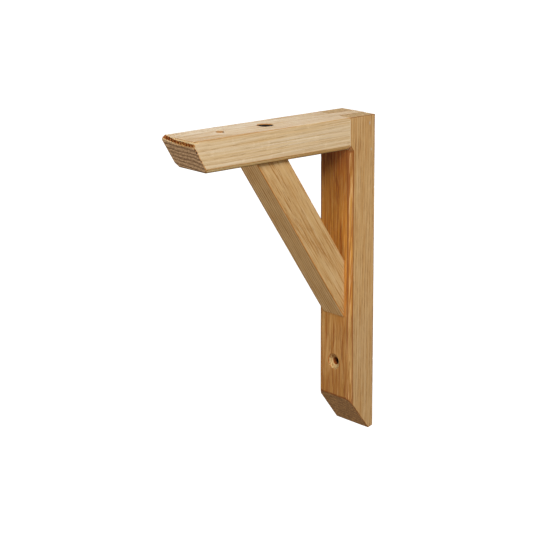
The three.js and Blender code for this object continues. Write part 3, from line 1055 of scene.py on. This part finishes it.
def make_arm(material):
    shoulder = LEG_FRONT - SEAM
    chamfer_down = TOP - ARM_UNDER - CHAMFER

    def section(y_at):
        """The arm's corners at one end, chamfered below. y_at gives y for each depth below the top."""
        middle_y, low_y = y_at(chamfer_down), y_at(TOP - ARM_UNDER)
        return [
            (-HALF, y_at(0), TOP), (HALF, y_at(0), TOP),
            (HALF, middle_y, ARM_UNDER + CHAMFER), (-HALF, middle_y, ARM_UNDER + CHAMFER),
            (HALF - CHAMFER, low_y, ARM_UNDER), (CHAMFER - HALF, low_y, ARM_UNDER),
        ]

    wood = hull(section(lambda down: shoulder) + section(lambda down: ARM_SHARP_TIP + down * ARM_SLOPE))
    tongue = block((-TENON_HALF, shoulder - BEYOND, ARM_UNDER), (TENON_HALF, WALL, TOP))
    wood = carve(wood, tongue, "UNION", bored=False)
    edges = hard_edges(wood, skip=lambda middle: middle.y < ARM_SHARP_TIP + 0.5)
    wood = carve(wood, screw_pocket_tool(TOP - ARM_UNDER + BEYOND + SHANK_HOLE))
    upside_down = Matrix.Translation((0, SHELF_HOLE_Y, ARM_UNDER)) @ Matrix.Rotation(math.pi, 4, "X")
    wood = carve(wood, moved(countersunk_tool(TOP - ARM_UNDER, 2), upside_down))

    def share(middle):
        at_holes = abs(middle.x) < POCKET_RADIUS + 1 and SHELF_HOLE_Y - 7 < middle.y < SCREW_Y + 7
        return 0.15 if middle.y > shoulder - 0.5 else 0.0 if at_holes else 0.8

    def at_tip(point):
        return point.y < TIP_BACK and TOP - point.z < TIP_DOWN

    wood = ease(wood, share)
    finest = spaced(TOP - TEAR_REGION, TOP, TIP_GRID)
    fine = spaced(TOP - TIP_DOWN, TOP - TEAR_REGION, 2 * TIP_GRID)
    slice_skin(wood, [((0, 1, 0), [TIP_BACK]), ((0, 0, 1), [TOP - TIP_DOWN])])
    slice_skin(
        wood,
        [
            ((0, 0, 1), finest + fine),
            ((0, 1, 0), spaced(ARM_SHARP_TIP, TIP_BACK, 2 * TIP_GRID)),
            ((1, 0, 0), spaced(-HALF, HALF, TIP_GRID)),
        ],
        at_tip,
    )
    slice_skin(
        wood,
        [
            ((0, 1, 0), spaced(ARM_SHARP_TIP, WALL, SKIN_GRID)),
            ((0, 0, 1), spaced(ARM_UNDER, TOP, SKIN_GRID)),
            ((1, 0, 0), spaced(-HALF, HALF, SKIN_GRID)),
        ],
        lambda point: not at_tip(point),
    )
    wear(wood, edges, 2, lambda point: point.y > shoulder - 0.4)
    layers = tear_tip(wood)
    facts = wood_facts(wood, edges, ARM_OAK, Vector((0, 0, 1)), (ARM_UNDER, TOP))
    for fact, layer in layers.items():
        facts[fact] = ("POINT", [vert[layer] for vert in wood.verts])
    torn_skin = wood.copy()
    torn_layer = torn_skin.verts.layers.float["torn"]
    whole = [face for face in torn_skin.faces if min(vert[torn_layer] for vert in face.verts) < 0.5]
    bmesh.ops.delete(torn_skin, geom=whole, context="FACES")
    for fact in layers:
        wood.verts.layers.float.remove(wood.verts.layers.float[fact])
    hand_over(wood, "shelf_arm_oak", "shelf_arm", material, facts)
    return torn_skin


def make_splinters(torn_skin, material):
    fibres = splinters(torn_skin, material)
    for vert in fibres.verts:
        vert.co.y = max(vert.co.y, TORN_LIMIT)
        vert.co.x = max(-HALF, min(HALF, vert.co.x))
        vert.co.z = min(vert.co.z, TOP)
    count = len(fibres.verts)
    facts = {"torn": ("POINT", [1.0] * count), "arris": ("POINT", [FAR_FROM_EDGE] * count)}
    facts["pale"] = ("POINT", [rise(noise.noise(vert.co * 0.9), -0.2, 0.3) * 0.7 for vert in fibres.verts])
    hand_over(fibres, "torn_fibres", None, material, facts)


def make_brace(material):
    """The square brace, its ends mitred to the leg's front and the arm's underside."""
    length = math.hypot(BRACE_RUN, BRACE_DROP)
    across_y, across_z = BRACE_DROP / length, BRACE_RUN / length
    low_side = -BRACE_RUN * across_y
    high_side = low_side + BRACE_THICKNESS

    def meets_arm(line):
        return (LEG_FRONT + (line + SEAM * across_z) / across_y, ARM_UNDER - SEAM)

    def meets_leg(line):
        return (LEG_FRONT - SEAM, ARM_UNDER + (line + SEAM * across_y) / across_z)

    outline = [meets_arm(low_side), meets_leg(low_side), meets_leg(high_side), meets_arm(high_side)]
    wood = prism(outline, BRACE_HALF)
    edges = hard_edges(wood)
    wood = carve(wood, screw_pocket_tool(TOP - SCREW_TIP))

    def share(middle):
        return 0.15 if middle.z > ARM_UNDER - 1 or middle.y > LEG_FRONT - 1 else 0.8

    wood = ease(wood, share)
    along = Vector((0, BRACE_RUN, -BRACE_DROP)).normalized()
    across = Vector((0, across_y, across_z))
    reach = [vert.co.dot(along) for vert in wood.verts]
    width = [vert.co.dot(across) for vert in wood.verts]
    slice_skin(wood, [
        (along, spaced(min(reach), max(reach), SKIN_GRID)),
        (across, spaced(min(width), max(width), SKIN_GRID)),
        ((1, 0, 0), spaced(-BRACE_HALF, BRACE_HALF, SKIN_GRID)),
    ])
    wear(wood, edges, 3, lambda point: point.z > ARM_UNDER - 0.5 or point.y > LEG_FRONT - 0.5)
    facts = wood_facts(wood, edges, BRACE_OAK, Vector((0, 0, 1)), (ARM_UNDER,))
    hand_over(wood, "diagonal_brace_oak", "diagonal_brace", material, facts)


def make_screw(material):
    """The black countersunk wood screw with its cross recess."""
    length = SCREW_TOP - SCREW_TIP
    root_top = SCREW_POINT + THREAD_LENGTH
    corners = [
        (0, 0), (THREAD_ROOT - 0.1, SCREW_POINT), (THREAD_ROOT, root_top), (SHANK_RADIUS, root_top + 0.6),
        (SHANK_RADIUS, length - HEAD_EDGE - (HEAD_RADIUS - SHANK_RADIUS)), (HEAD_RADIUS, length - HEAD_EDGE),
        (HEAD_RADIUS, length - HEAD_ROUND), (HEAD_RADIUS - HEAD_ROUND, length), (0, length),
    ]
    steel = turned(corners)

    def bar(half_length, half_width, heights):
        return box_corners((-half_length, half_length), (-half_width, half_width), heights)

    for turn in (0, math.pi / 2):
        mouth = bar(*RECESS_MOUTH, (length, length + BEYOND))
        foot = bar(*RECESS_FOOT, (length - RECESS_DEPTH,))
        aside = Matrix.Rotation(turn + RECESS_TURN, 4, "Z")
        steel = carve(steel, moved(hull(mouth + foot), aside), bored=False)
    ridge = screw_thread(material)
    ridge_mesh = bpy.data.meshes.new("ridge")
    ridge.to_mesh(ridge_mesh)
    ridge.free()
    steel.from_mesh(ridge_mesh)
    bpy.data.meshes.remove(ridge_mesh)
    bmesh.ops.recalc_face_normals(steel, faces=steel.faces)
    bmesh.ops.triangulate(steel, faces=steel.faces)
    moved(steel, Matrix.Translation((0, SCREW_Y, SCREW_TIP)))
    hand_over(steel, "arm_screw_black", "arm_screw", material, {})


# The studio
WARM_WHITE = (1.0, 0.95, 0.87)
LIT_PLACE = Vector((0, -0.06, 0))


def make_sweep():
    """A pale floor far below the bracket, under a pale dome. It is only seen and lights nothing."""
    floor_z, radius, height, steps = -1200, 6000, 8000, 24
    corners = [(0, floor_z), (radius, floor_z)]
    for step in range(1, steps):
        angle = math.pi / 2 * step / steps
        corners.append((radius * math.cos(angle), floor_z + height * math.sin(angle)))
    corners.append((0, floor_z + height))
    mesh = bpy.data.meshes.new("floor")
    bm = moved(turned(corners), Matrix.Scale(MM, 4))
    bm.to_mesh(mesh)
    bm.free()
    mesh.materials.append(pale_floor())
    floor = bpy.data.objects.new("floor", mesh)
    floor.visible_diffuse = False
    floor.visible_glossy = False
    floor.visible_shadow = False
    bpy.context.scene.collection.objects.link(floor)


def make_light(name, azimuth, elevation, distance, size, power, colour=(1, 1, 1)):
    """A soft square light that faces the bracket."""
    back = direction(azimuth, elevation)
    lamp = bpy.data.lights.new(name, "AREA")
    lamp.size = size
    lamp.energy = power
    lamp.color = colour
    light = bpy.data.objects.new(name, lamp)
    light.location = LIT_PLACE + back * distance
    light.rotation_euler = back.to_track_quat("Z", "Y").to_euler()
    bpy.context.scene.collection.objects.link(light)


def make_studio():
    world = bpy.data.worlds.new("studio")
    bpy.context.scene.world = world
    world.use_nodes = True
    background = world.node_tree.nodes["Background"]
    background.inputs["Color"].default_value = (*WARM_WHITE, 1)
    background.inputs["Strength"].default_value = 0.18
    make_light("key", azimuth=62, elevation=42, distance=1.4, size=0.5, power=18.5)
    make_light("fill", azimuth=8, elevation=-8, distance=1.6, size=0.9, power=8.5, colour=WARM_WHITE)
    make_light("bounce", azimuth=48, elevation=-52, distance=1.4, size=0.9, power=2.6, colour=WARM_WHITE)
    make_light("back", azimuth=235, elevation=14, distance=1.6, size=1.4, power=11)
    bpy.context.scene.view_settings.view_transform = "Standard"
    make_sweep()


# The bracket
make_camera()
make_studio()
arm_finish = oak("arm_oak", ARM_OAK)
make_leg(oak("leg_oak", LEG_OAK, flecks=LEG_FLECKS, tints_and_shade=LEG_TINTS_AND_SHADE))
make_splinters(make_arm(arm_finish), arm_finish)
make_brace(oak("brace_oak", BRACE_OAK))
make_screw(black_steel())
